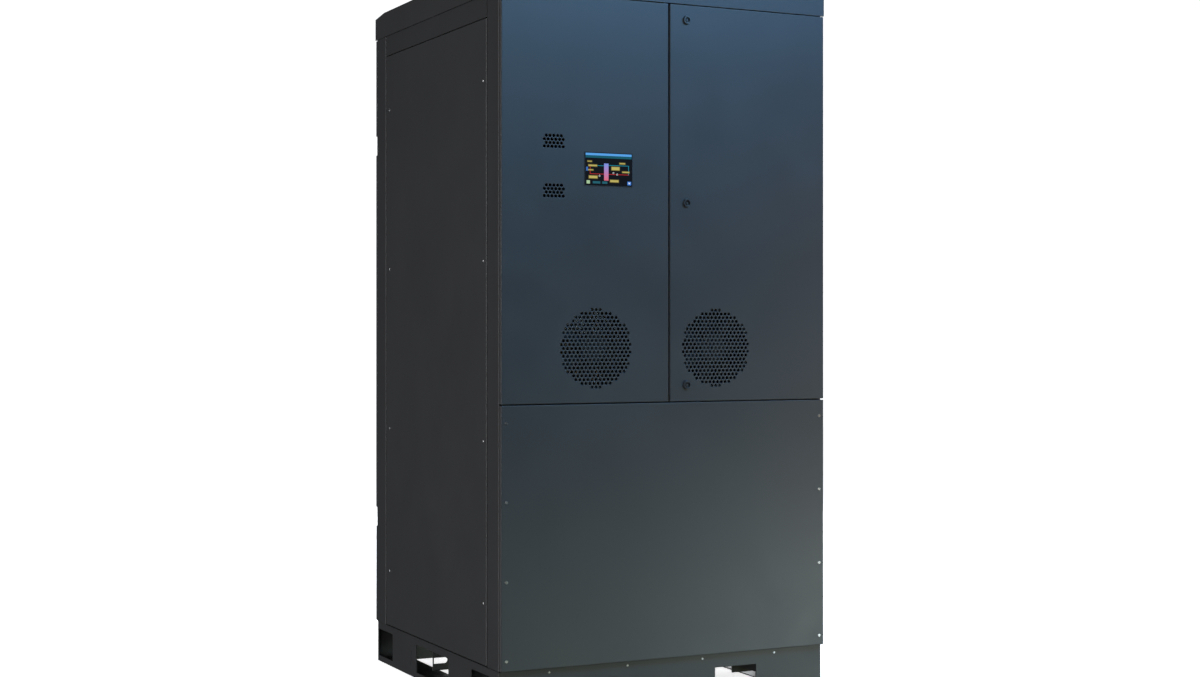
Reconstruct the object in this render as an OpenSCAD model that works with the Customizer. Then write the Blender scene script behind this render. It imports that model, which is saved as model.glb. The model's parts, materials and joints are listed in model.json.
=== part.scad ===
// Coolant distribution unit: a free-standing steel cabinet with pumps, a plate
// heat exchanger, pipework and a control section. Millimetres, +Z up.
// Inside the modules X runs from the left side, Y from the front door face to
// the rear door face, Z from the floor. place() moves the plan centre to the origin.

/* [Cabinet] */
// Overall width over rear posts, plinth and roof cap
cab_w = 1000; // [990:1:1010]
// Depth from front door face to rear door face
cab_d = 987; // [985:1:990]
// Overall height to the top of the roof
cab_h = 1981; // [1975:1:1990]
// Height of the plinth below the posts
plinth_h = 119; // [116:1:120]
// Height at which the lower front panel ends and the doors begin
split_z = 819; // [815:1:822]
// Height of the underside of the roof cap
cap_z = 1907; // [1905:1:1910]
// Thickness of the wide gaps between panels
seam = 4; // [3:0.5:5]

/* [Doors] */
// Depth of the folded front doors and lower panel
front_t = 13; // [12.5:0.1:13.2]
// Depth of the folded rear door
rear_t = 15; // [14.5:0.1:15.2]
// Thickness of the door sheet
sheet_t = 1.5; // [1.2:0.1:2]
// Radius of the folded vertical edges
fold_r = 3; // [2:0.5:4]
// Gap between the two front doors
centre_gap = 3.4; // [3:0.2:4]

/* [Vents] */
// Height of the centre of the two round vents
vent_z = 966; // [960:1:975]
// Centre of the left round vent from the left side
vent_left_x = 278; // [270:1:285]
// Centre of the right round vent from the left side
vent_right_x = 645; // [643:1:655]
// Radius that the punched field of a round vent fills
vent_r = 105; // [96:1:106]
// Radius of a punched vent hole
hole_r = 4.2; // [3.5:0.1:4.6]
// Pitch of the punched holes
hole_pitch = 12; // [11:0.5:13]

/* [Hydraulics] */
// Outer radius of the main pipes
pipe_r = 57.15; // [50:0.05:58]
// Inner radius of the main pipes
bore_r = 53.55; // [46:0.05:54]
// Bend radius of the elbows
bend_r = 80; // [78:1:82]
// Height of the open pipe ends, just under the roof surface
stub_z = 1974; // [1960:1:1978]

/* [Hidden] */
$fn = 40;

yf = 16;                    // front face of the frame
yr = cab_d - 18;            // rear face of the frame
in_l = 2.5;                 // front posts and rails stand this far inside the overall width
dark = "#34363a";
lite = "#4a4d52";

// placement and small shapes
module place() translate([-cab_w / 2, -cab_d / 2, 0]) children();
module both_sides() { children(); translate([cab_w, 0, 0]) mirror([1, 0, 0]) children(); }
module blk(x0, x1, y0, y1, z0, z1) translate([x0, y0, z0]) cube([x1 - x0, y1 - y0, z1 - z0]);
module rod_x(y, z, x0, x1, r, f = 40) translate([x0, y, z]) rotate([0, 90, 0]) cylinder(r = r, h = x1 - x0, $fn = f);
module rod_y(x, z, y0, y1, r, f = 40) translate([x, y0, z]) rotate([-90, 0, 0]) cylinder(r = r, h = y1 - y0, $fn = f);
module rod_z(x, y, z0, z1, r, f = 40) translate([x, y, z0]) cylinder(r = r, h = z1 - z0, $fn = f);
// rectangle with all four corners rounded
module rrect(x0, x1, y0, y1, r) {
    translate([x0 + r, y0]) square([x1 - x0 - 2 * r, y1 - y0]);
    translate([x0, y0 + r]) square([x1 - x0, y1 - y0 - 2 * r]);
    for (x = [x0 + r, x1 - r], y = [y0 + r, y1 - r]) translate([x, y]) circle(r = r);
}
// square tube along Z, X or Y with a 2.5 wall
module tube_z(x0, x1, y0, y1, z0, z1, r = 3, w = 2.5)
    translate([0, 0, z0]) linear_extrude(height = z1 - z0) difference() {
        rrect(x0, x1, y0, y1, r);
        translate([x0 + w, y0 + w]) square([x1 - x0 - 2 * w, y1 - y0 - 2 * w]);
    }
module tube_x(x0, x1, y0, y1, z0, z1, w = 2.5) difference() {
    blk(x0, x1, y0, y1, z0, z1);
    blk(x0 - 1, x1 + 1, y0 + w, y1 - w, z0 + w, z1 - w);
}
module tube_y(x0, x1, y0, y1, z0, z1, w = 2.5) difference() {
    blk(x0, x1, y0, y1, z0, z1);
    blk(x0 + w, x1 - w, y0 - 1, y1 + 1, z0 + w, z1 - w);
}
// folded panel: sheet at y0 with returns to depth t, open at the back, outer vertical edges rounded
module pan(x0, x1, t, z0, z1) difference() {
    translate([0, 0, z0]) linear_extrude(height = z1 - z0) {
        translate([x0 + fold_r, 0]) square([x1 - x0 - 2 * fold_r, t]);
        translate([x0, fold_r]) square([x1 - x0, t - fold_r]);
        for (x = [x0 + fold_r, x1 - fold_r]) translate([x, fold_r]) circle(r = fold_r);
    }
    blk(x0 + sheet_t, x1 - sheet_t, sheet_t, t + 1, z0 + sheet_t, z1 - sheet_t);
}
// staggered punched field: round (r) or rectangular (w x h)
module field_round(cx, cz, r, p) {
    rows = floor(r / (p * 0.866));
    for (j = [-rows:rows], i = [-rows - 1:rows + 1]) {
        x = (i + (j % 2 == 0 ? 0 : 0.5)) * p;
        z = j * p * 0.866;
        if (sqrt(x * x + z * z) <= r) rod_y(cx + x, cz + z, -1, sheet_t + 1, hole_r, 16);
    }
}
module field_rect(x0, z0, cols, rows, p) for (j = [0:rows - 1], i = [0:cols - 1 - j % 2])
    rod_y(x0 + (i + (j % 2) * 0.5) * p, z0 + j * p * 0.866, -1, sheet_t + 1, hole_r, 16);
// ring of a round pipe along Z
module pipe_ring(ro, ri) difference() { circle(r = ro); circle(r = ri); }
module pipe_z(x, y, z0, z1, ro = pipe_r, ri = bore_r) translate([x, y, z0]) linear_extrude(height = z1 - z0) pipe_ring(ro, ri);
module pipe_y(x, z, y0, y1, ro = pipe_r, ri = bore_r) translate([x, y0, z]) rotate([-90, 0, 0]) linear_extrude(height = y1 - y0) pipe_ring(ro, ri);
module pipe_x(y, z, x0, x1, ro = pipe_r, ri = bore_r) translate([x0, y, z]) rotate([0, 90, 0]) linear_extrude(height = x1 - x0) pipe_ring(ro, ri);
// quarter bend about centre c, from c + bend_r*u to c + bend_r*v; both ends stop 1 mm short of the joint plane
module elbow(c, u, v) {
    w = cross(u, v);
    multmatrix([[u[0], v[0], w[0], c[0]], [u[1], v[1], w[1], c[1]], [u[2], v[2], w[2], c[2]], [0, 0, 0, 1]])
        rotate([0, 0, 0.7]) rotate_extrude(angle = 88.6, $fn = 64) translate([bend_r, 0]) pipe_ring(pipe_r, bore_r);
}
// grooved coupling: a ring that bridges two pipe ends
module coupling() translate([0, 0, -18]) linear_extrude(height = 36) pipe_ring(pipe_r + 13, pipe_r - 1);
module coupling_z(x, y, z) translate([x, y, z]) { coupling(); for (s = [-1, 1]) blk(s * 77 - 10, s * 77 + 10, -12, 12, -14, 14); }
module coupling_t(x, y, z) translate([x, y, z]) rotate([0, 0, 90]) { coupling(); for (s = [-1, 1]) blk(s * 77 - 10, s * 77 + 10, -12, 12, -14, 14); }
module coupling_y(x, z, y) translate([x, y, z]) rotate([-90, 0, 0]) coupling();
module coupling_x(y, z, x) translate([x, y, z]) rotate([0, 90, 0]) coupling();

// ---------------------------------------------------------------- base
win = [[81, 206], [376, 633], [835, 960]];
fork = [[216, 347.5], [652.5, 784]];
module base_end_rails() color(dark) place() for (front = [true, false]) {
    y0 = front ? yf : yr - 3;
    difference() {
        union() {
            translate([0, 0, 0]) linear_extrude(height = plinth_h) {
                translate([in_l + 2, y0]) square([cab_w - 2 * in_l - 4, 3]);
                translate([in_l, y0 + (front ? 1.5 : 0)]) square([cab_w - 2 * in_l, 1.5]);
                for (x = [in_l + 1.5, cab_w - in_l - 1.5]) translate([x, y0 + 1.5]) circle(r = 1.5);
            }
            blk(62, 938, front ? yf + 3 : yr - 43, front ? yf + 43 : yr - 3, plinth_h - 3, plinth_h);
            for (s = [[107, 214], [349.5, 650.5], [786, 893]])
                blk(s[0], s[1], front ? yf + 3 : yr - 43, front ? yf + 43 : yr - 3, 0, 3);
        }
        for (f = fork) blk(f[0], f[1], y0 - 1, y0 + 4, -1, 80);
        if (front) for (x = [148, 380.5, 612, 843]) rod_y(x, 108, y0 - 1, y0 + 4, 2.1, 16);
    }
}
module base_side_rails() color(dark) place() both_sides() difference() {
    union() {
        blk(in_l, in_l + 3, yf + 3, yr - 3, 0, plinth_h);
        blk(in_l + 3, 60, yf + 3, yr - 3, plinth_h - 3, plinth_h);
        blk(in_l + 3, 105, yf + 3, yr - 3, 0, 3);
    }
    for (w = win) blk(in_l - 1, in_l + 4, w[0], w[1], 17, 98);
    blk(in_l - 1, in_l + 4, 674, 678.5, 30, 75);
    for (y = [143.5, 897.5]) rod_z(55, y, -1, 4, 9);
}
module base_fork_beams() color(dark) place() for (x = [180, 347.5, 616.5, 784])
    tube_y(x, x + 36, yf + 3, yr - 3, 58, plinth_h - 3);
module base_cross_plates() color(lite) place() {
    both_sides() {
        difference() {
            blk(in_l + 3, 180, 504, 507, 43, plinth_h - 3);
            blk(in_l + 6, 42, 503, 508, 62, 79);
            rod_y(42, 70.5, 503, 508, 8.5);
        }
        blk(in_l + 3, 180, 212, 215, 20, plinth_h - 3);
        blk(in_l + 3, 180, 826, 829, 20, plinth_h - 3);
    }
    for (y = [300, 504, 690]) blk(383.5, 616.5, y, y + 3, 58, plinth_h - 3);
}
module floor_pan() color("#9aa0a4") place() difference() {
    blk(52, cab_w - 52, 22, yr - 6, plinth_h, plinth_h + 26);
    blk(54, cab_w - 54, 24, yr - 8, plinth_h + 2, plinth_h + 30);
}

// ---------------------------------------------------------------- frame
module post(x0, x1, y0, y1) {
    tube_z(x0, x1, y0, y1, plinth_h + 2, cap_z - 1);
    blk(x0 + 1.5, x1 - 1.5, y0 + 1.5, y1 - 1.5, plinth_h, plinth_h + 2.5);
    blk(x0 + 1.5, x1 - 1.5, y0 + 1.5, y1 - 1.5, cap_z - 1.5, cap_z);
}
module corner_posts() color(dark) place() both_sides() {
    difference() {
        union() {
            post(in_l, 47.5, yf, 95);
            blk(21, 24, 94.5, 136, plinth_h + 4, 1845);
        }
        for (z = [148.5, 355, 564, 772]) rod_y(17.8, z, yf - 1, yf + 9, 2.6, 16);
        for (z = [286, 718, 1199.5, 1681]) rod_x(122, z, 20, 25, 3.1, 16);
    }
    difference() {
        union() {
            post(0.5, 45.5, 891, yr);
            blk(21, 24, 850, 891.5, plinth_h + 4, 1845);
        }
        for (z = [286, 718, 1199.5, 1681]) rod_x(863, z, 20, 25, 3.1, 16);
    }
}
module frame_rails() color(dark) place() {
    both_sides() {
        tube_y(in_l, 47.5, 96.5, 889.5, 1847, cap_z - 0.5);
        for (y = [95, 888.5]) blk(7, 43, y, y + 2.5, 1852, 1902);
    }
    difference() {
        tube_x(47.5, cab_w - 47.5, yf, 60, 1880, cap_z - 0.5);
        rod_z(455, 26, 1879, 1884, 6);
    }
    tube_x(45.5, cab_w - 45.5, 925, yr, 1862, cap_z - 0.5);
    difference() {
        tube_x(47.5, cab_w - 47.5, yf, 60, 798, 832);
        rod_z(455, 26, 828, 833, 6);
    }
}
module centre_mullion() color(dark) place() tube_z(478, 522, yf, 56, 832.5, 1879.5);
riser = [[240, 440], [400, 440], [600, 440], [880, 560]];
module roof_cap() color(dark) place() difference() {
    translate([0, 0, cap_z]) linear_extrude(height = cab_h - cap_z) rrect(0, cab_w, 0, cab_d, fold_r);
    // the rear of the roof falls towards the rear face
    rotate([90, 0, 90]) translate([0, 0, -5]) linear_extrude(height = cab_w + 10)
        polygon([[905, cab_h], [cab_d + 10, cab_h - 11.78], [cab_d + 10, cab_h + 10], [905, cab_h + 10]]);
    rotate([90, 0, 90]) translate([0, 0, 2]) linear_extrude(height = cab_w - 4)
        polygon([[2, cap_z + 2], [cab_d - 2, cap_z + 2], [cab_d - 2, cab_h - 12.5], [905, cab_h - 2], [2, cab_h - 2]]);
    blk(60, cab_w - 60, 70, 915, cap_z - 1, cap_z + 3);
    for (p = riser) rod_z(p[0], p[1], cab_h - 6, cab_h + 1, 76, 64);
    for (x = [70, cab_w - 70], y = [108.5, 878.5]) rod_z(x, y, cab_h - 6, cab_h + 1, 6.5, 24);
    blk(610, 870, 130, 240, cab_h - 6, cab_h + 1);
}
module roof_gland_plate() color("#8c9094") place() difference() {
    blk(600, 880, 120, 250, cab_h - 5, cab_h - 2);
    for (x = [645, 705, 765, 825], y = [160, 210]) rod_z(x, y, cab_h - 6, cab_h, y < 200 ? 16 : 10.2, 24);
}

// ---------------------------------------------------------------- panels
module side_panel() difference() {
    translate([1.5, 986.0, 0]) rotate([0, 0, -90]) pan(97.5, 888.5, 18, 122.5, 1844);
    for (y = [122, 863], z = [286, 718, 1199.5, 1681]) rod_x(y, z, 0, 5, 3.4, 16);
}
module side_panel_left() color(lite) place() side_panel();
module side_panel_right() color(lite) place() translate([cab_w, 0, 0]) mirror([1, 0, 0]) side_panel();
module side_panel_screws() color("#8a8c8e") place() both_sides() for (y = [122, 863], z = [286, 718, 1199.5, 1681]) {
    difference() {
        union() {
            translate([0, y, z]) rotate([0, 90, 0]) cylinder(r1 = 4.2, r2 = 5.5, h = 1.5, $fn = 32);
            rod_x(y, z, 1.49, 32, 3, 24);
        }
        rod_x(y, z, -1, 2.6, 2, 6);
    }
}
module lower_front_panel() color(lite) place() difference() {
    pan(in_l, cab_w - in_l, front_t, plinth_h + 3, split_z - seam / 2);
    for (x = [17.8, cab_w - 17.8], z = [148.5, 355, 564, 772]) rod_y(x, z, -1, 3, 2.8, 16);
}
module cap_screw(x, z, y) difference() {
    union() {
        translate([x, y, z]) rotate([90, 0, 0]) cylinder(r1 = 4.6, r2 = 3.6, h = 1.8, $fn = 32);
        rod_y(x, z, y - 0.01, y + 26, 2.4, 16);
    }
    rod_y(x, z, y - 3, y + 1, 1.6, 6);
}
module front_screws() color("#2c2e30") place() {
    for (x = [17.8, cab_w - 17.8], z = [148.5, 355, 564, 772]) cap_screw(x, z, 0);
    for (x = [148, 380.5, 612, 843]) difference() {
        union() {
            translate([x, yf, 108]) rotate([90, 0, 0]) cylinder(r1 = 3.4, r2 = 2.6, h = 1.4, $fn = 24);
            rod_y(x, 108, yf - 0.01, yf + 2.8, 1.9, 16);
        }
        rod_y(x, 108, yf - 3, yf + 1, 1.2, 6);
    }
}
module frame_gaskets() color("#151515") place() {
    both_sides() {
        blk(36, 46, front_t + 0.3, yf, 833, 1880);
        blk(30, 40, front_t + 0.3, yf, 130, 796);
        blk(36, 44, yr, yr + 2.6, 130, 1860);
    }
    blk(484, 516, front_t + 0.3, yf, 833, 1879);
    blk(50, cab_w - 50, front_t + 0.3, yf, 1884, 1894);
    blk(50, cab_w - 50, front_t + 0.3, yf, 823, 831);
    blk(44, cab_w - 44, front_t + 0.3, yf, 803, 811);
    blk(48, cab_w - 48, yr, yr + 2.6, 1866, 1876);
}

// ---------------------------------------------------------------- doors
door_z0 = split_z + seam / 2;
door_z1 = cap_z - 2.5;
door_c = cab_w / 2 - centre_gap / 2;
hmi = [245, 386, 1401.5, 1490];
module left_door_skin() color(lite) place() difference() {
    pan(in_l, door_c, front_t, door_z0, door_z1);
    field_round(vent_left_x, vent_z, vent_r, hole_pitch);
    field_rect(126.5, 1501, 6, 4, 11);
    field_rect(126.5, 1370, 6, 4, 11);
    blk(hmi[0] + 5, hmi[1] - 5, -1, 5, hmi[2] + 4, hmi[3] - 4);
}
module hat(x, z0, z1, y0, y1) difference() {
    blk(x, x + 30, y0, y1, z0, z1);
    blk(x + 2, x + 28, y0 - 1, y1 - 2, z0 - 1, z1 + 1);
}
module left_door_stiffeners() color(lite) place() { hat(66, 850, 1876, sheet_t, 12.5); hat(440, 850, 1876, sheet_t, 12.5); }
module right_door_skin() color(lite) place() difference() {
    translate([cab_w, 0, 0]) mirror([1, 0, 0]) pan(in_l, door_c, front_t, door_z0, door_z1);
    field_round(vent_right_x, vent_z, vent_r, hole_pitch);
    for (z = [865, 1363, 1864]) rod_y(554, z, -1, 5, 10.4);
}
module right_door_stiffeners() color(lite) place() { hat(776, 850, 1876, sheet_t, 12.5); hat(904, 850, 1876, sheet_t, 12.5); }
module rear_door_skin() color(lite) place() translate([0, cab_d, 0]) mirror([0, 1, 0]) difference() {
    pan(in_l, cab_w - in_l, rear_t, plinth_h + 3, door_z1);
    for (z = [441, 1582]) blk(in_l - 1, in_l + 4, -1, rear_t + 1, z - 29.5, z + 29.5);
    for (z = [560, 1440]) rod_y(926, z, -1, 5, 10.4);
    for (z = [1500, 300], j = [0:7]) for (x = [300, 560]) blk(x, x + 140, -1, 5, z + j * 20, z + j * 20 + 7);
}
module rear_door_stiffeners() color(lite) place() translate([0, cab_d, 0]) mirror([0, 1, 0]) {
    hat(90, 150, 1876, sheet_t, 13); hat(485, 150, 1876, sheet_t, 13); hat(860, 150, 1876, sheet_t, 13);
}

// ---------------------------------------------------------------- hinges
// pin axis at (hx, b) behind the door face; the arm is a goose-neck from the frame face
hx = 8.5;
front_b = 6;
rear_b = 7.5;
front_hz = [905, 1363, 1821];
rear_hz = [441, 1582];
module hinge_arm(z, b, face) {
    rod_z(hx, b, z - 15, z + 15, 3.5);
    rod_z(hx, b, z - 36, z + 36, 2, 32);
    blk(hx, 23.5, b - 1.5, b + 1.5, z - 13, z + 13);
    blk(20.5, 23.5, b - 1.5, face, z - 13, z + 13);
    blk(20.5, 34, face - 2.5, face, z - 25, z + 25);
}
module hinge_leaf(z, b) for (s = [-1, 1]) difference() {
    union() {
        rod_z(hx, b, z + s * 25.25 - 9.75, z + s * 25.25 + 9.75, 3.5);
        blk(hx, 40, sheet_t, b - 2.5, z + s * 25.25 - 9.75, z + s * 25.25 + 9.75);
        blk(hx, hx + 3.4, sheet_t, b, z + s * 25.25 - 9.75, z + s * 25.25 + 9.75);
    }
    rod_z(hx, b, z - 40, z + 40, 2.06, 32);
}
module hinge_frame_arms() color("#1c1d1f") place() {
    both_sides() for (z = front_hz) hinge_arm(z, front_b, yf);
    translate([0, cab_d, 0]) mirror([0, 1, 0]) for (z = rear_hz) hinge_arm(z, rear_b, cab_d - yr);
}
module left_hinge_leaves() color("#1c1d1f") place() for (z = front_hz) hinge_leaf(z, front_b);
module right_hinge_leaves() color("#1c1d1f") place() translate([cab_w, 0, 0]) mirror([1, 0, 0]) for (z = front_hz) hinge_leaf(z, front_b);
module rear_hinge_leaves() color("#1c1d1f") place() translate([0, cab_d, 0]) mirror([0, 1, 0]) for (z = rear_hz) hinge_leaf(z, rear_b);

// ---------------------------------------------------------------- locks
// housing with a bevelled collar, and a core with a square drive and a cam
module lock_housing(x, z, t) difference() {
    union() {
        translate([x, 0, z]) rotate([90, 0, 0]) cylinder(r1 = 12.4, r2 = 10.6, h = 6, $fn = 48);
        rod_y(x, z, -0.01, t + 4.5, 10.2);
        translate([x, sheet_t, z]) rotate([-90, 0, 0]) cylinder(r = 14, h = 4, $fn = 6);
    }
    rod_y(x, z, -7, t + 6, 8);
}
module lock_core(x, z, y_cam, reach) difference() {
    union() {
        rod_y(x, z, -3.4, y_cam - 1, 7.93);
        rod_y(x, z, y_cam - 2, y_cam + 5, 4);
        blk(x - 8, x + 8, y_cam, y_cam + 3, z - reach, z + 8);
    }
    translate([x, -3.5, z]) rotate([-90, 0, 0]) difference() {
        cylinder(r = 6.2, h = 3.5, $fn = 32);
        translate([-3, -3, -1]) cube([6, 6, 6]);
    }
}
lock_z = [865, 1363, 1864];
module lock_housings() color("#3a3c3f") place() for (z = lock_z) lock_housing(554, z, front_t);
module lock_upper() color("#55585b") place() lock_core(554, lock_z[2], 24, 28);
module lock_middle() color("#55585b") place() lock_core(554, lock_z[1], 24, 28);
module lock_lower() color("#55585b") place() lock_core(554, lock_z[0], 24, 28);
module rear_side() translate([0, cab_d, 0]) mirror([0, 1, 0]) children();
module rear_lock_housings() color("#3a3c3f") place() rear_side() for (z = [560, 1440]) lock_housing(926, z, rear_t);
module rear_lock_upper() color("#55585b") place() rear_side() lock_core(926, 1440, 27, 25);
module rear_lock_lower() color("#55585b") place() rear_side() lock_core(926, 560, 27, 25);
module lock_keepers() color("#7d8083") place() {
    for (z = lock_z) blk(522, 543, 19, 22, z - 9, z + 9);
    rear_side() for (z = [560, 1440]) blk(937, 954.5, 22, 25, z - 9, z + 9);
}
module flush_bolt_brackets() color("#7d8083") place() for (z = [870, 1806]) difference() {
    union() {
        blk(443, 467, 12.5, 34, z, z + 50);
        blk(440, 470, 12.5, 15.5, z - 8, z + 58);
    }
    rod_z(455, 26, z - 1, z + 51, 5.06);
    blk(451, 459, 29, 36, z + 8, z + 42);
}
module flush_bolt(z0, z1, zk) {
    rod_z(455, 26, z0, z1, 5);
    rod_y(455, zk, 26, 42, 2.6, 24);
    rod_y(455, zk, 36, 44, 6, 32);
}
module flush_bolt_upper() color("#a9acae") place() flush_bolt(1812, 1872, 1820);
module flush_bolt_lower() color("#a9acae") place() flush_bolt(840, 906, 900);

// ---------------------------------------------------------------- screen
module hmi_panel() color("#101214") place() difference() {
    union() {
        blk(hmi[0] - 1.2, hmi[1] + 1.2, -1.2, 0, hmi[2] - 1.2, hmi[3] + 1.2);
        blk(hmi[0] + 6, hmi[1] - 6, -0.01, 36, hmi[2] + 5, hmi[3] - 5);
    }
    blk(hmi[0], hmi[1], -2, -0.6, hmi[2], hmi[3]);
    blk(hmi[0] + 10, hmi[1] - 10, -1, 30, hmi[2] + 9, hmi[3] - 9);
}
module hmi_screen() color("#203040") place() blk(hmi[0] + 0.4, hmi[1] - 0.4, -0.9, -0.6, hmi[2] + 0.4, hmi[3] - 0.4);

// ---------------------------------------------------------------- fans
module fan_housing(x) {
    difference() {
        rod_y(x, vent_z, 3, 50, 112, 72);
        rod_y(x, vent_z, 2, 51, 104, 72);
    }
    for (a = [0, 90, 180, 270]) translate([x, 0, vent_z]) rotate([0, a, 0]) {
        blk(30, 106, 44, 50, -6, 6);
        blk(108, 124, sheet_t, 8, -10, 10);
    }
    rod_y(x, vent_z, 40, 50, 36);
    rod_y(x, vent_z, 12, 41, 5, 32);
}
module fan_rotor(x) difference() {
    union() {
        rod_y(x, vent_z, 14, 38, 38, 48);
        for (a = [0:51.4286:359]) translate([x, 26, vent_z]) rotate([0, a, 0]) translate([66, 0, 0])
            rotate([38, 0, 0]) cube([68, 2.2, 34], center = true);
    }
    rod_y(x, vent_z, 10, 45, 5.06, 32);
}
module left_fan_housing() color("#1d1f21") place() fan_housing(vent_left_x);
module left_fan_rotor() color("#16181a") place() fan_rotor(vent_left_x);
module right_fan_housing() color("#1d1f21") place() fan_housing(vent_right_x);
module right_fan_rotor() color("#16181a") place() fan_rotor(vent_right_x);

// ---------------------------------------------------------------- heat exchanger
port_lo = 365;
port_hi = 1135;
module heat_exchanger_plates() color("#b8bcc0") place() {
    for (i = [0:24]) blk(345, 655, 565 + 12 * i, 569 + 12 * i, 262, 1238);
    for (x = [400, 600], z = [port_lo, port_hi]) pipe_y(x, z, 560, 859, 62, 50);
}
module heat_exchanger_frame() color("#3c5a78") place() {
    difference() {
        union() {
            blk(325, 675, 532, 560, 145, 1270);
            blk(325, 675, 859, 885, 145, 1270);
        }
        for (x = [400, 600], z = [port_lo, port_hi]) rod_y(x, z, 531, 561, bore_r);
    }
    for (x = [333, 667], z = [300, 520, 740, 960, 1200]) {
        rod_y(x, z, 515, 900, 7, 24);
        rod_y(x, z, 522, 533, 12, 6);
        rod_y(x, z, 884, 895, 12, 6);
    }
    for (y = [510, 858]) blk(325, 675, y, y + 50, 121, 146);
}

// ---------------------------------------------------------------- pumps
pump_x = [510, 720];
pump_y = 240;
module pump_casings() color("#2f4a66") place() for (x = pump_x) difference() {
    union() {
        rod_z(x, pump_y, 145, 420, 96, 64);
        rod_z(x, pump_y, 400, 420, 102, 64);
        blk(x - 100, x + 100, pump_y - 100, pump_y + 90, 121, 150);
        for (z = [215, 365]) rod_y(x, z, pump_y, 342.8, 44.5);
        for (z = [215, 365]) rod_y(x, z, 322, 342.8, 54);
    }
    rod_z(x, pump_y, 165, 405, 84, 64);
    rod_z(x, pump_y, 400, 421, 15);
    for (z = [215, 365]) rod_y(x, z, pump_y, 344, 40);
}
module pump_motors() color("#2a2c2f") place() for (x = pump_x) difference() {
    union() {
        rod_z(x, pump_y, 420, 450, 102, 64);
        rod_z(x, pump_y, 450, 690, 88, 64);
        for (a = [0:20:359]) translate([x, pump_y, 470]) rotate([0, 0, a]) translate([84, -1.5, 0]) cube([12, 3, 180]);
        rod_z(x, pump_y, 690, 730, 92, 64);
        blk(x - 40, x + 40, pump_y - 130, pump_y - 80, 560, 640);
    }
    rod_z(x, pump_y, 419, 715, 14.06);
}
module pump_rotor(x) {
    rod_z(x, pump_y, 185, 700, 14);
    for (z = [200, 250, 300, 350]) rod_z(x, pump_y, z, z + 20, 74, 48);
}
module pump_rotor_left() color("#b0b3b6") place() pump_rotor(pump_x[0]);
module pump_rotor_right() color("#b0b3b6") place() pump_rotor(pump_x[1]);

// ---------------------------------------------------------------- pipework
valve_z = [1478, 1522];
joint_z = 1751;
// pipe end under the roof, joined to its riser with a coupling
module top_end(x, y) { pipe_z(x, y, joint_z + 1, stub_z); coupling_t(x, y, joint_z); }
module port_flange(x, z) pipe_y(x, z, 518, 532, 78, pipe_r - 1);
module facility_pipes() color("#6d7378") place() {
    // supply: roof to the upper port
    pipe_z(400, 440, valve_z[1], joint_z - 1);
    top_end(400, 440);
    pipe_z(400, 440, port_hi + bend_r, valve_z[0]);
    elbow([400, 440 + bend_r, port_hi + bend_r], [0, -1, 0], [0, 0, -1]);
    coupling_z(400, 440, port_hi + bend_r);
    port_flange(400, port_hi);
    // return: lower port, two bends, control valve, riser to the roof
    port_flange(400, port_lo);
    elbow([400 - bend_r, 440 + bend_r, port_lo], [1, 0, 0], [0, -1, 0]);
    coupling_x(440, port_lo, 400 - bend_r);
    elbow([400 - bend_r, 440, port_lo + bend_r], [0, 0, -1], [-1, 0, 0]);
    coupling_z(400 - 2 * bend_r, 440, port_lo + bend_r);
    pipe_z(240, 440, port_lo + bend_r, 942);
    pipe_z(240, 440, 1058, valve_z[0]);
    pipe_z(240, 440, valve_z[1], joint_z - 1);
    top_end(240, 440);
}
module header(z, x1, branch) difference() {
    union() {
        rod_x(400, z, 458, x1, pipe_r);
        if (branch) rod_y(600, z, 400, 532, pipe_r - 1.5);
        if (branch) rod_y(600, z, 518, 532, 78);
        for (x = pump_x) rod_y(x, z, 343, 400, 44.5);
        for (x = pump_x) rod_y(x, z, 343, 356, 54);
    }
    rod_x(400, z, 462, branch ? x1 - 4 : x1 + 1, bore_r);
    if (branch) rod_y(600, z, 400, 533, bore_r - 1.5);
    for (x = pump_x) rod_y(x, z, 342, 400, 40);
}
module process_pipes() color("#6d7378") place() {
    // supply: upper port to the roof
    pipe_z(600, 440, port_hi + bend_r, joint_z - 1);
    top_end(600, 440);
    elbow([600, 440 + bend_r, port_hi + bend_r], [0, -1, 0], [0, 0, -1]);
    coupling_z(600, 440, port_hi + bend_r);
    port_flange(600, port_hi);
    // discharge header with its branch to the lower port, and suction header with its riser
    header(port_lo, 828, true);
    header(215, 800, false);
    coupling_x(400, 215, 800);
    elbow([800, 400 + bend_r, 215], [0, -1, 0], [1, 0, 0]);
    coupling_y(800 + bend_r, 215, 400 + bend_r);
    elbow([800 + bend_r, 400 + bend_r, 215 + bend_r], [0, 0, -1], [0, 1, 0]);
    coupling_z(800 + bend_r, 400 + 2 * bend_r, 215 + bend_r);
    pipe_z(800 + bend_r, 400 + 2 * bend_r, 215 + bend_r, joint_z - 1);
    top_end(800 + bend_r, 400 + 2 * bend_r);
}
// butterfly valves on the two facility risers
module valve_bodies() color("#26465f") place() for (p = [[240, -1], [400, 1]]) difference() {
    union() {
        translate([p[0], 440, valve_z[0]]) linear_extrude(height = valve_z[1] - valve_z[0]) pipe_ring(84, bore_r);
        translate([p[0], 440, 1500]) rotate([0, p[1] * 90, 0]) cylinder(r = 14, h = 118);
    }
    rod_z(p[0], 440, valve_z[0] - 1, valve_z[1] + 1, bore_r);
    translate([p[0], 440, 1500]) rotate([0, p[1] * 90, 0]) cylinder(r = 6.05, h = 120);
}
module valve_lever(x, s) translate([x, 440, 1500]) {
    rotate([0, s * 90, 0]) cylinder(r = 6, h = 128);
    rotate([-90, 0, 0]) translate([0, 0, -4]) cylinder(r = 50, h = 8, $fn = 64);
    blk(s * 123 - 3, s * 123 + 3, -12, 12, -12, 180);
    rod_z(s * 123, 0, 140, 220, 10, 24);
}
module valve_lever_supply() color("#b02a24") place() valve_lever(400, 1);
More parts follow.
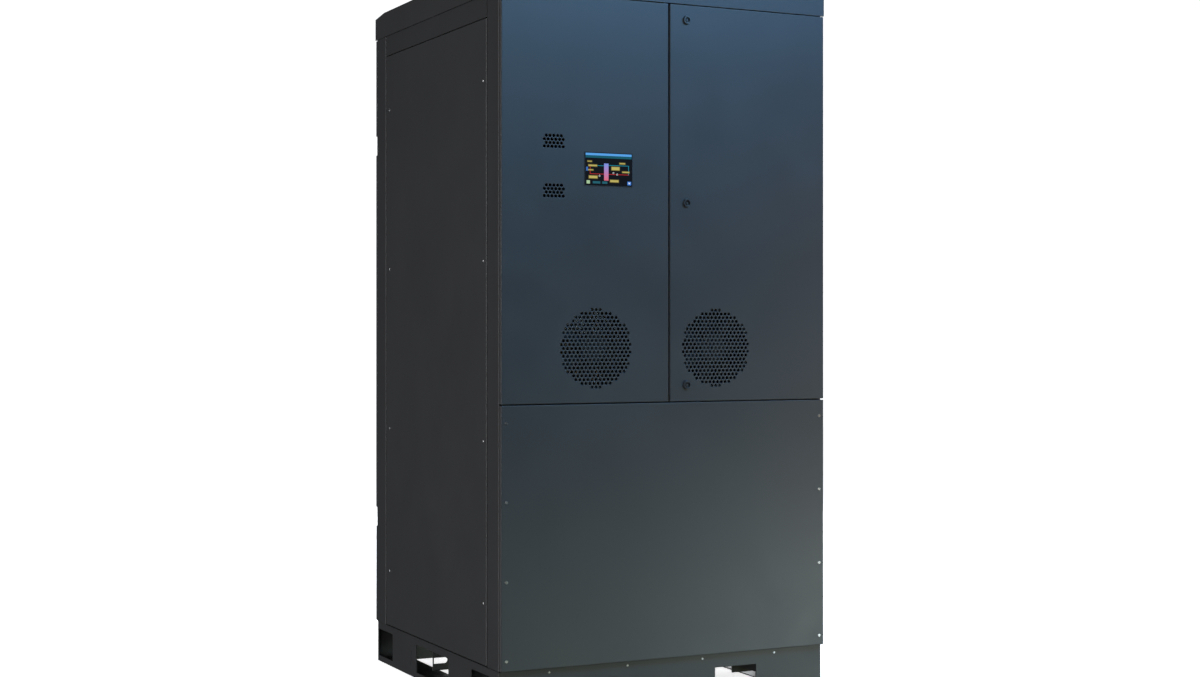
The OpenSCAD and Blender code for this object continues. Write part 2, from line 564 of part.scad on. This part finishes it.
module valve_lever_return() color("#b02a24") place() valve_lever(240, -1);
module control_valve() color("#4f6f3d") place() {
    difference() {
        union() {
            rod_z(240, 440, 942, 1058, 72, 48);
            rod_z(240, 440, 942, 960, 88, 48);
            rod_z(240, 440, 1040, 1058, 88, 48);
            rod_x(440, 1000, 120, 200, 20);
            blk(76, 136, 392, 488, 930, 1070);
        }
        rod_z(240, 440, 941, 1059, bore_r);
    }
}
module expansion_tank() color("#a3302a") place() {
    rod_z(800, 770, 1420, 1700, 110, 64);
    translate([800, 770, 1700]) cylinder(r1 = 110, r2 = 62, h = 40, $fn = 64);
    translate([800, 770, 1380]) cylinder(r1 = 62, r2 = 110, h = 40, $fn = 64);
    rod_z(800, 770, 1330, 1381, 12);
    blk(770, 830, 876, 884, 1450, 1862);
    blk(770, 830, 876, 940, 1856, 1862);
}

// ---------------------------------------------------------------- control section
module electrical_plate() color("#d9dad6") place() {
    blk(70, 930, 330, 333, 860, 1850);
    both_sides() for (z = [1000, 1700]) blk(47.5, 72, 60, 333, z, z + 30);
}
module drive(x) difference() {
    union() {
        blk(x, x + 150, 160, 300, 1420, 1760);
        for (i = [0:9]) blk(x + 6 + i * 14.4, x + 12 + i * 14.4, 299, 330, 1430, 1750);
        blk(x + 20, x + 130, 154, 161, 1600, 1720);
    }
    for (i = [0:6]) blk(x + 20, x + 130, 159, 163, 1440 + i * 18, 1448 + i * 18);
}
module pump_drives() color("#55585c") place() { drive(110); drive(290); }
module control_modules() color("#c9cbc6") place() {
    for (z = [1380, 1560, 1740]) blk(500, 900, 322, 330, z, z + 35);
    for (i = [0:9]) blk(510 + i * 37, 542 + i * 37, 250, 322, 1730, 1820);
    blk(510, 690, 240, 322, 1530, 1650);
    blk(700, 890, 260, 322, 1540, 1640);
    for (i = [0:7]) blk(510 + i * 46, 550 + i * 46, 262, 322, 1355, 1440);
    difference() {
        blk(560, 660, 240, 330, 1160, 1280);
        rod_y(610, 1220, 239, 262, 10.06);
    }
    blk(80, 110, 270, 330, 880, 1840);
    blk(500, 900, 270, 330, 1470, 1505);
}
module main_switch_handle() color("#c2271f") place() {
    rod_y(610, 1220, 226, 260, 10);
    rod_y(610, 1220, 214, 228, 32, 48);
    blk(603, 617, 196, 216, 1186, 1254);
}

base_end_rails();
base_side_rails();
base_fork_beams();
base_cross_plates();
floor_pan();
corner_posts();
frame_rails();
centre_mullion();
roof_cap();
roof_gland_plate();
side_panel_left();
side_panel_right();
side_panel_screws();
lower_front_panel();
front_screws();
frame_gaskets();
left_door_skin();
left_door_stiffeners();
right_door_skin();
right_door_stiffeners();
rear_door_skin();
rear_door_stiffeners();
hinge_frame_arms();
left_hinge_leaves();
right_hinge_leaves();
rear_hinge_leaves();
lock_housings();
lock_upper();
lock_middle();
lock_lower();
rear_lock_housings();
rear_lock_upper();
rear_lock_lower();
lock_keepers();
flush_bolt_brackets();
flush_bolt_upper();
flush_bolt_lower();
hmi_panel();
hmi_screen();
left_fan_housing();
left_fan_rotor();
right_fan_housing();
right_fan_rotor();
heat_exchanger_plates();
heat_exchanger_frame();
pump_casings();
pump_motors();
pump_rotor_left();
pump_rotor_right();
facility_pipes();
process_pipes();
valve_bodies();
valve_lever_supply();
valve_lever_return();
control_valve();
expansion_tank();
electrical_plate();
pump_drives();
control_modules();
main_switch_handle();
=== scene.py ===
import bpy, bmesh, json, math, random
from mathutils import Vector, Matrix


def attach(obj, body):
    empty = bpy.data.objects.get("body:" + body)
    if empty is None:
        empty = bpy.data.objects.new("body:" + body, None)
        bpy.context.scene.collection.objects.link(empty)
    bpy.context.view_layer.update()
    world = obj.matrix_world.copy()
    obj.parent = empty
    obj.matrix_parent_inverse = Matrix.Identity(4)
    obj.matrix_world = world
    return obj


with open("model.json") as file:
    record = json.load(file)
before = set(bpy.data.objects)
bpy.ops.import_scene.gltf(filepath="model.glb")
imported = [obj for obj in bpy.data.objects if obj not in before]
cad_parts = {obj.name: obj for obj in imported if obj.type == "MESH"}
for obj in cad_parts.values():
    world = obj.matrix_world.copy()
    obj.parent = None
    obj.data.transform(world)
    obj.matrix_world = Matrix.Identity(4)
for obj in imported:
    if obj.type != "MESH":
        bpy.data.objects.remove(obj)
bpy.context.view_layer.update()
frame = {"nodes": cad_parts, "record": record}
random.seed(7)
scene = bpy.context.scene
nodes = frame["nodes"]
bodies = frame["record"]["behaviour"]["bodies"]
body_of = {n: b for b, ns in bodies.items() for n in ns}


# ------------------------------------------------------------------ places
# inner millimetres (from the left side, the front door face and the floor) to the row frame
def P(x, y, z):
    return Vector((x / 1000 - 0.5, y / 1000 - 0.4935, z / 1000))


# ------------------------------------------------------------------ camera
cam = bpy.data.cameras.new("camera")
cam.lens = 55.7
cam.sensor_width = 36.0
cam.shift_y = -0.0079
cam.clip_end = 100
cam_obj = bpy.data.objects.new("camera", cam)
scene.collection.objects.link(cam_obj)
cam_obj.location = (-2.391, -4.9585, 1.018)
look = Vector((0.4389, 0.8986, 0.0))
cam_obj.rotation_euler = look.to_track_quat("-Z", "Y").to_euler()
scene.camera = cam_obj

scene.view_settings.view_transform = "Standard"
scene.view_settings.look = "None"
scene.view_settings.exposure = 0
scene.view_settings.gamma = 1


# ------------------------------------------------------------------ materials
def new_mat(name):
    m = bpy.data.materials.new(name)
    m.use_nodes = True
    nt = m.node_tree
    nt.nodes.clear()
    out = nt.nodes.new("ShaderNodeOutputMaterial")
    b = nt.nodes.new("ShaderNodeBsdfPrincipled")
    nt.links.new(b.outputs[0], out.inputs[0])
    return m, nt, b


def tex(nt, kind, scale, detail=2.0, rough=0.5, stretch=None, coord="Object"):
    tc = nt.nodes.new("ShaderNodeTexCoord")
    src = tc.outputs[coord]
    if stretch:
        mp = nt.nodes.new("ShaderNodeMapping")
        mp.inputs["Scale"].default_value = stretch
        nt.links.new(src, mp.inputs["Vector"])
        src = mp.outputs["Vector"]
    n = nt.nodes.new(kind)
    nt.links.new(src, n.inputs["Vector"])
    n.inputs["Scale"].default_value = scale
    if "Detail" in n.inputs:
        n.inputs["Detail"].default_value = detail
    if "Roughness" in n.inputs:
        n.inputs["Roughness"].default_value = rough
    return n


def fac_of(n):
    for k in ("Fac", "Factor", "Distance", "Color"):
        if k in n.outputs:
            return n.outputs[k]
    return n.outputs[0]


def ramp(nt, src, lo, hi, a=0.3, b=0.7):
    r = nt.nodes.new("ShaderNodeMapRange")
    r.inputs["From Min"].default_value = a
    r.inputs["From Max"].default_value = b
    r.inputs["To Min"].default_value = lo
    r.inputs["To Max"].default_value = hi
    nt.links.new(src, r.inputs["Value"])
    return r.outputs["Result"]


def mix_col(nt, fac, c1, c2):
    m = nt.nodes.new("ShaderNodeMix")
    m.data_type = "RGBA"
    nt.links.new(fac, m.inputs["Factor"])
    for i, c in ((6, c1), (7, c2)):
        if hasattr(c, "links"):
            nt.links.new(c, m.inputs[i])
        else:
            m.inputs[i].default_value = (*c[:3], 1)
    return m.outputs[2]


def bump(nt, b, height, strength, distance, edge=0.0):
    n = nt.nodes.new("ShaderNodeBump")
    if edge:
        r = nt.nodes.new("ShaderNodeBevel")
        r.samples = 6
        r.inputs["Radius"].default_value = edge
        nt.links.new(r.outputs["Normal"], n.inputs["Normal"])
    n.inputs["Strength"].default_value = strength
    n.inputs["Distance"].default_value = distance
    nt.links.new(height, n.inputs["Height"])
    nt.links.new(n.outputs["Normal"], b.inputs["Normal"])
    return n


def tint(c, k):
    return tuple(min(1.0, v * k) for v in c[:3])


def powder(name, base, rough=0.42, spec=0.5, var=0.07, peel=0.12, grain=620, edge=0.0):
    """Satin powder coat: a fine orange peel, with slow drift in colour and gloss."""
    m, nt, b = new_mat(name)
    slow = tex(nt, "ShaderNodeTexNoise", 2.3, 3)
    col = mix_col(nt, ramp(nt, fac_of(slow), 0, 1), tint(base, 1 - var), tint(base, 1 + var))
    speck = tex(nt, "ShaderNodeTexNoise", 1900, 1)
    col = mix_col(nt, ramp(nt, fac_of(speck), 0, 0.35, 0.55, 0.75), col, tint(base, 1.9))
    nt.links.new(col, b.inputs["Base Color"])
    gl = tex(nt, "ShaderNodeTexNoise", 9, 4)
    nt.links.new(ramp(nt, fac_of(gl), rough - 0.025, rough + 0.025), b.inputs["Roughness"])
    b.inputs["Specular IOR Level"].default_value = spec
    fine = tex(nt, "ShaderNodeTexNoise", grain, 2, 0.55)
    bump(nt, b, fac_of(fine), peel, 0.0006, edge)
    return m


def plastic(name, base, rough=0.5, spec=0.5, grain=1400, peel=0.15, var=0.05):
    m, nt, b = new_mat(name)
    slow = tex(nt, "ShaderNodeTexNoise", 14, 3)
    nt.links.new(mix_col(nt, ramp(nt, fac_of(slow), 0, 1), tint(base, 1 - var), tint(base, 1 + var)), b.inputs["Base Color"])
    nt.links.new(ramp(nt, fac_of(slow), rough - 0.04, rough + 0.04), b.inputs["Roughness"])
    b.inputs["Specular IOR Level"].default_value = spec
    v = tex(nt, "ShaderNodeTexVoronoi", grain)
    bump(nt, b, fac_of(v), peel, 0.0003)
    return m


def metal(name, base, rough=0.3, stretch=(1, 1, 40), scale=60, amount=0.12, bump_s=0.08, var=0.1):
    """Drawn or brushed metal: streaks along one direction."""
    m, nt, b = new_mat(name)
    b.inputs["Metallic"].default_value = 1.0
    st = tex(nt, "ShaderNodeTexNoise", scale, 4, 0.6, stretch)
    nt.links.new(mix_col(nt, ramp(nt, fac_of(st), 0, 1), tint(base, 1 - var), tint(base, 1 + var)), b.inputs["Base Color"])
    nt.links.new(ramp(nt, fac_of(st), rough - amount, rough + amount), b.inputs["Roughness"])
    bump(nt, b, fac_of(st), bump_s, 0.0003)
    return m


def galvanised(name, base):
    """Zinc coat with its flake pattern."""
    m, nt, b = new_mat(name)
    b.inputs["Metallic"].default_value = 1.0
    v = tex(nt, "ShaderNodeTexVoronoi", 75)
    c = nt.nodes.new("ShaderNodeSeparateColor")
    nt.links.new(v.outputs["Color"], c.inputs[0])
    nt.links.new(mix_col(nt, c.outputs[0], tint(base, 0.8), tint(base, 1.1)), b.inputs["Base Color"])
    nt.links.new(ramp(nt, c.outputs[1], 0.32, 0.5, 0, 1), b.inputs["Roughness"])
    n = tex(nt, "ShaderNodeTexNoise", 400, 3)
    bump(nt, b, fac_of(n), 0.08, 0.0003)
    return m


def rubber(name, base=(0.012, 0.012, 0.012), rough=0.75):
    m, nt, b = new_mat(name)
    n = tex(nt, "ShaderNodeTexNoise", 700, 4, 0.7)
    nt.links.new(mix_col(nt, ramp(nt, fac_of(n), 0, 1), tint(base, 0.7), tint(base, 1.5)), b.inputs["Base Color"])
    nt.links.new(ramp(nt, fac_of(n), rough - 0.1, rough + 0.08), b.inputs["Roughness"])
    b.inputs["Specular IOR Level"].default_value = 0.3
    bump(nt, b, fac_of(n), 0.4, 0.0004)
    return m


M = {}
PAINT = (0.0290, 0.0296, 0.0310)
M["cabinet_paint"] = powder("cabinet_paint", PAINT, 0.40, 0.42, edge=0.0022)
M["frame_paint"] = powder("frame_paint", tint(PAINT, 0.9), 0.42, 0.40, edge=0.0022)
M["plinth_paint"] = powder("plinth_paint", tint(PAINT, 0.85), 0.45, 0.38, edge=0.0018)
M["hinge_black"] = powder("hinge_black", (0.012, 0.012, 0.013), 0.38, 0.5)
M["lock_zinc"] = powder("lock_zinc", (0.03, 0.031, 0.033), 0.3, 0.6, 0.1, 0.08, 900)
M["screw_steel"] = metal("screw_steel", (0.3, 0.3, 0.31), 0.3, (1, 1, 1), 900)
M["zinc_steel"] = galvanised("zinc_steel", (0.66, 0.67, 0.68))
M["floor_steel"] = metal("floor_steel", (0.62, 0.63, 0.64), 0.32, (30, 1, 1), 40)
M["seal_rubber"] = rubber("seal_rubber")
M["screen_case"] = plastic("screen_case", (0.012, 0.012, 0.013), 0.42)
M["screen_glass"] = plastic("screen_glass", (0.004, 0.005, 0.006), 0.12, 0.5, 300, 0.0)
M["fan_plastic"] = plastic("fan_plastic", (0.006, 0.006, 0.0065), 0.55, 0.3)
M["plate_stainless"] = metal("plate_stainless", (0.62, 0.62, 0.61), 0.28, (1, 1, 1), 120)
M["exchanger_paint"] = powder("exchanger_paint", (0.02, 0.09, 0.22), 0.36, 0.5, 0.08, 0.2, 260)
M["pump_paint"] = powder("pump_paint", (0.02, 0.1, 0.24), 0.38, 0.5, 0.1, 0.45, 190)
M["motor_paint"] = powder("motor_paint", (0.03, 0.032, 0.036), 0.42, 0.5, 0.1, 0.3, 240)
M["shaft_steel"] = metal("shaft_steel", (0.66, 0.66, 0.67), 0.18, (1, 1, 30), 120)
M["pipe_steel"] = metal("pipe_steel", (0.6, 0.6, 0.6), 0.3, (8, 8, 1), 60)
M["valve_paint"] = powder("valve_paint", (0.015, 0.06, 0.16), 0.4, 0.5, 0.1, 0.4, 210)
M["lever_coating"] = powder("lever_coating", (0.42, 0.02, 0.012), 0.35, 0.5)
M["actuator_plastic"] = plastic("actuator_plastic", (0.11, 0.13, 0.12), 0.45)
M["tank_paint"] = powder("tank_paint", (0.38, 0.018, 0.012), 0.28, 0.5, 0.05, 0.12, 160)
M["plate_zinc"] = galvanised("plate_zinc", (0.7, 0.71, 0.72))
M["drive_plastic"] = plastic("drive_plastic", (0.06, 0.063, 0.068), 0.5)
M["module_plastic"] = plastic("module_plastic", (0.5, 0.5, 0.48), 0.5)
M["switch_red"] = plastic("switch_red", (0.5, 0.02, 0.012), 0.3)

slot_of = {s["node"]: s["material_slot"] for s in frame["record"]["subparts"]}
for name, ob in nodes.items():
    m = M[slot_of[name]]
    ob.data.materials.clear()
    ob.data.materials.append(m)


# ------------------------------------------------------------------ mesh helpers
def add_mesh(name, verts, faces, mat, body, smooth=False):
    me = bpy.data.meshes.new(name)
    me.from_pydata([tuple(v) for v in verts], [], faces)
    me.validate()
    ob = bpy.data.objects.new(name, me)
    scene.collection.objects.link(ob)
    me.materials.append(mat)
    if smooth:
        for p in me.polygons:
            p.use_smooth = True
    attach(ob, body)
    return ob


# ------------------------------------------------------------------ the lit screen: a generic schematic
SCR = (245.4, 385.6, 1401.9, 1489.6)


def screen_graphics():
    x0, x1, z0, z1 = SCR
    quads = []

    def q(a, b, c, d, col, layer):
        quads.append((x0 + a * (x1 - x0), x0 + b * (x1 - x0), z0 + c * (z1 - z0), z0 + d * (z1 - z0), col, layer))

    black = (0.0015, 0.0015, 0.002)
    q(0.0, 1.0, 0.0, 1.0, black, 0)
    q(0.01, 0.99, 0.915, 0.985, (0.10, 0.38, 0.85), 1)
    q(0.01, 0.99, 0.84, 0.91, (0.006, 0.10, 0.14), 1)
    # panels of the schematic
    for a, b, c, d in ((0.04, 0.15, 0.70, 0.76), (0.06, 0.26, 0.565, 0.645), (0.05, 0.18, 0.44, 0.50), (0.07, 0.27, 0.20, 0.31), (0.72, 0.86, 0.66, 0.73), (0.55, 0.74, 0.47, 0.60), (0.52, 0.72, 0.10, 0.20), (0.78, 0.95, 0.40, 0.47)):
        q(a, b, c, d, (0.16, 0.13, 0.03), 1)
        q(a + 0.012, b - 0.012, c + 0.02, d - 0.02, (0.55, 0.46, 0.12), 2)
    # the exchanger in the middle, cold at the top and warm below
    for i in range(10):
        t = i / 9
        col = (0.75 * t + 0.22 * (1 - t), 0.16 * t + 0.30 * (1 - t), 0.24 * t + 0.78 * (1 - t))
        q(0.40, 0.495, 0.66 - 0.052 * (i + 1) + 0.02, 0.66 - 0.052 * i + 0.02, col, 2)
    # lines
    q(0.10, 0.40, 0.345, 0.362, (0.5, 0.02, 0.02), 1)
    q(0.495, 0.93, 0.345, 0.362, (0.5, 0.02, 0.02), 1)
    q(0.10, 0.40, 0.60, 0.615, (0.01, 0.30, 0.42), 1)
    q(0.495, 0.93, 0.62, 0.635, (0.01, 0.30, 0.42), 1)
    q(0.92, 0.932, 0.345, 0.635, (0.01, 0.30, 0.42), 1)
    q(0.10, 0.112, 0.345, 0.615, (0.5, 0.02, 0.02), 1)
    q(0.02, 0.06, 0.44, 0.56, (0.05, 0.16, 0.5), 2)
    q(0.03, 0.10, 0.05, 0.15, (0.42, 0.62, 0.36), 2)
    q(0.90, 0.98, 0.04, 0.15, (0.05, 0.22, 0.72), 2)
    q(0.16, 0.32, 0.06, 0.13, (0.015, 0.12, 0.16), 1)
    q(0.36, 0.47, 0.06, 0.13, (0.015, 0.12, 0.16), 1)
    verts, faces, cols = [], [], []
    for a, b, c, d, col, layer in quads:
        y = -0.905 - 0.03 * layer
        i = len(verts)
        verts += [P(a, y, c), P(b, y, c), P(b, y, d), P(a, y, d)]
        faces.append((i, i + 1, i + 2, i + 3))
        cols.append(col)

    def disc(cx, cz, r, col, layer, n=18):
        i = len(verts)
        for k in range(n):
            t = 2 * math.pi * k / n
            verts.append(P(x0 + cx * (x1 - x0) + r * math.cos(t), -0.905 - 0.03 * layer, z0 + cz * (z1 - z0) + r * math.sin(t)))
        faces.append(tuple(range(i, i + n)))
        cols.append(col)

    for cx, cz in ((0.305, 0.30), (0.60, 0.40), (0.68, 0.355)):
        disc(cx, cz, 2.4, (0.78, 0.8, 0.82), 3)
        disc(cx, cz, 1.5, (0.02, 0.02, 0.02), 4)
    i = len(verts)
    verts.extend([P(x0 + 0.915 * (x1 - x0), -1.02, z0 + 0.12 * (z1 - z0)), P(x0 + 0.965 * (x1 - x0), -1.02, z0 + 0.12 * (z1 - z0)), P(x0 + 0.94 * (x1 - x0), -1.02, z0 + 0.06 * (z1 - z0))])
    faces.append((i, i + 2, i + 1))
    cols.append((0.85, 0.88, 0.9))
    m, nt, b = new_mat("screen_light")
    at = nt.nodes.new("ShaderNodeAttribute")
    at.attribute_name = "glow"
    n = tex(nt, "ShaderNodeTexNoise", 900, 1)
    dim = mix_col(nt, ramp(nt, fac_of(n), 0, 1), (0.85, 0.85, 0.85), (1.0, 1.0, 1.0))
    mul = nt.nodes.new("ShaderNodeMix")
    mul.data_type = "RGBA"
    mul.blend_type = "MULTIPLY"
    mul.inputs["Factor"].default_value = 1.0
    nt.links.new(at.outputs["Color"], mul.inputs[6])
    nt.links.new(dim, mul.inputs[7])
    nt.links.new(mul.outputs[2], b.inputs["Emission Color"])
    b.inputs["Emission Strength"].default_value = 1.0
    b.inputs["Base Color"].default_value = (0.004, 0.004, 0.005, 1)
    b.inputs["Roughness"].default_value = 0.18
    ob = add_mesh("screen_graphics", verts, faces, m, "left_door")
    att = ob.data.attributes.new("glow", "FLOAT_COLOR", "CORNER")
    data = []
    for p in ob.data.polygons:
        for _ in p.loop_indices:
            data.extend((*cols[p.index], 1.0))
    att.data.foreach_set("color", data)
    return ob


screen_graphics()


# ------------------------------------------------------------------ stage and light
def stage_floor():
    m, nt, b = new_mat("stage_floor")
    n = tex(nt, "ShaderNodeTexNoise", 1.5, 3)
    nt.links.new(mix_col(nt, ramp(nt, fac_of(n), 0, 1), (0.86, 0.86, 0.86), (0.9, 0.9, 0.9)), b.inputs["Base Color"])
    b.inputs["Roughness"].default_value = 0.85
    b.inputs["Specular IOR Level"].default_value = 0.2
    b.inputs["Emission Color"].default_value = (1, 1, 1, 1)
    tc = nt.nodes.new("ShaderNodeTexCoord")
    dist = nt.nodes.new("ShaderNodeVectorMath")
    dist.operation = "LENGTH"
    nt.links.new(tc.outputs["Object"], dist.inputs[0])
    nt.links.new(ramp(nt, dist.outputs["Value"], 0.80, 1.0, 0.9, 4.0), b.inputs["Emission Strength"])
    me = bpy.data.meshes.new("stage_floor")
    bm = bmesh.new()
    bmesh.ops.create_circle(bm, cap_ends=True, radius=14, segments=96)
    bm.to_mesh(me)
    bm.free()
    ob = bpy.data.objects.new("stage_floor", me)
    me.materials.append(m)
    scene.collection.objects.link(ob)
    ob.visible_diffuse = False
    ob.visible_glossy = False
    ob.visible_shadow = False
    # a white wall all round, seen by the camera only
    m2, nt2, b2 = new_mat("stage_wall")
    b2.inputs["Base Color"].default_value = (0.8, 0.8, 0.8, 1)
    b2.inputs["Roughness"].default_value = 1
    b2.inputs["Emission Color"].default_value = (1, 1, 1, 1)
    b2.inputs["Emission Strength"].default_value = 1.0
    me = bpy.data.meshes.new("stage_wall")
    bm = bmesh.new()
    bmesh.ops.create_uvsphere(bm, u_segments=64, v_segments=32, radius=15)
    bmesh.ops.reverse_faces(bm, faces=bm.faces[:])
    bm.to_mesh(me)
    bm.free()
    wall = bpy.data.objects.new("stage_wall", me)
    me.materials.append(m2)
    scene.collection.objects.link(wall)
    wall.visible_diffuse = False
    wall.visible_glossy = False
    wall.visible_transmission = False
    wall.visible_shadow = False


stage_floor()

# name, where it stands, what it looks at, width, height, colour, power in watts
LIGHTS = [
    ("overhead", (0.4, 0.5, 4.6), (0, 0.1, 1), 3.5, 2.6, (0.923, 0.954, 1.0), 65),
    ("front_high", (1.9, -4.2, 4.2), (0, -0.5, 1.2), 3.0, 2.0, (0.528, 0.917, 1.0), 180),
    ("front_top", (1.7, -3.2, 3.5), (0.1, -0.5, 1.9), 2.6, 0.8, (0.029, 0.267, 1.0), 105),
    ("front_floor", (1.0, -3.2, -0.9), (0.1, -0.5, 0.4), 2.4, 1.2, (0.918, 1.0, 0.696), 15.8),
    ("right_low", (2.3, -3.1, -0.5), (0.4, -0.49, 0.2), 1.4, 0.8, (0.608, 0.867, 1.0), 15.8),
    ("right_near_low", (1.9, -2.0, 0.0), (0.45, -0.49, 0.3), 0.9, 0.7, (1.0, 0.978, 0.783), 9.2),
    ("right_near_mid", (2.0, -2.0, 1.1), (0.45, -0.49, 1.1), 0.8, 1.2, (1.0, 0.659, 0.341), 4.4),
    ("left_front", (-4.3, -2.7, 1.3), (0.0, -0.5, 1.1), 0.5, 2.6, (1.0, 1.0, 1.0), 45),
    ("left_side", (-4.8, 0.2, 1.8), (-0.5, 0, 1), 2.6, 2.6, (0.938, 0.963, 1.0), 80),
    ("left_low", (-3.4, 0.3, -0.4), (-0.5, 0, 0.4), 2.4, 1.0, (0.963, 0.981, 1.0), 27),
    ("right_side", (4.6, 1.6, 1.9), (0.5, 0.1, 1), 2.0, 2.8, (0.932, 0.958, 1.0), 118),
    ("back_mid", (0.7, 4.6, 2.3), (0.1, 0.5, 1), 2.2, 2.8, (0.93, 0.953, 1.0), 86),
    ("back_right", (2.6, 4.2, 1.2), (0.1, 0.5, 0.9), 2.2, 2.4, (0.946, 0.973, 1.0), 74),
]
for name, loc, aim, w, h, colr, power in LIGHTS:
    L = bpy.data.lights.new(name, "AREA")
    L.shape = "RECTANGLE"
    L.size, L.size_y = w, h
    L.color = colr
    L.energy = power
    o = bpy.data.objects.new(name, L)
    o.location = loc
    o.rotation_euler = (Vector(aim) - Vector(loc)).to_track_quat("-Z", "Y").to_euler()
    o.visible_camera = False
    scene.collection.objects.link(o)

world = bpy.data.worlds.new("world")
scene.world = world
world.use_nodes = True
bg = world.node_tree.nodes["Background"]
bg.inputs["Color"].default_value = (1, 1, 1, 1)
bg.inputs["Strength"].default_value = 0.05
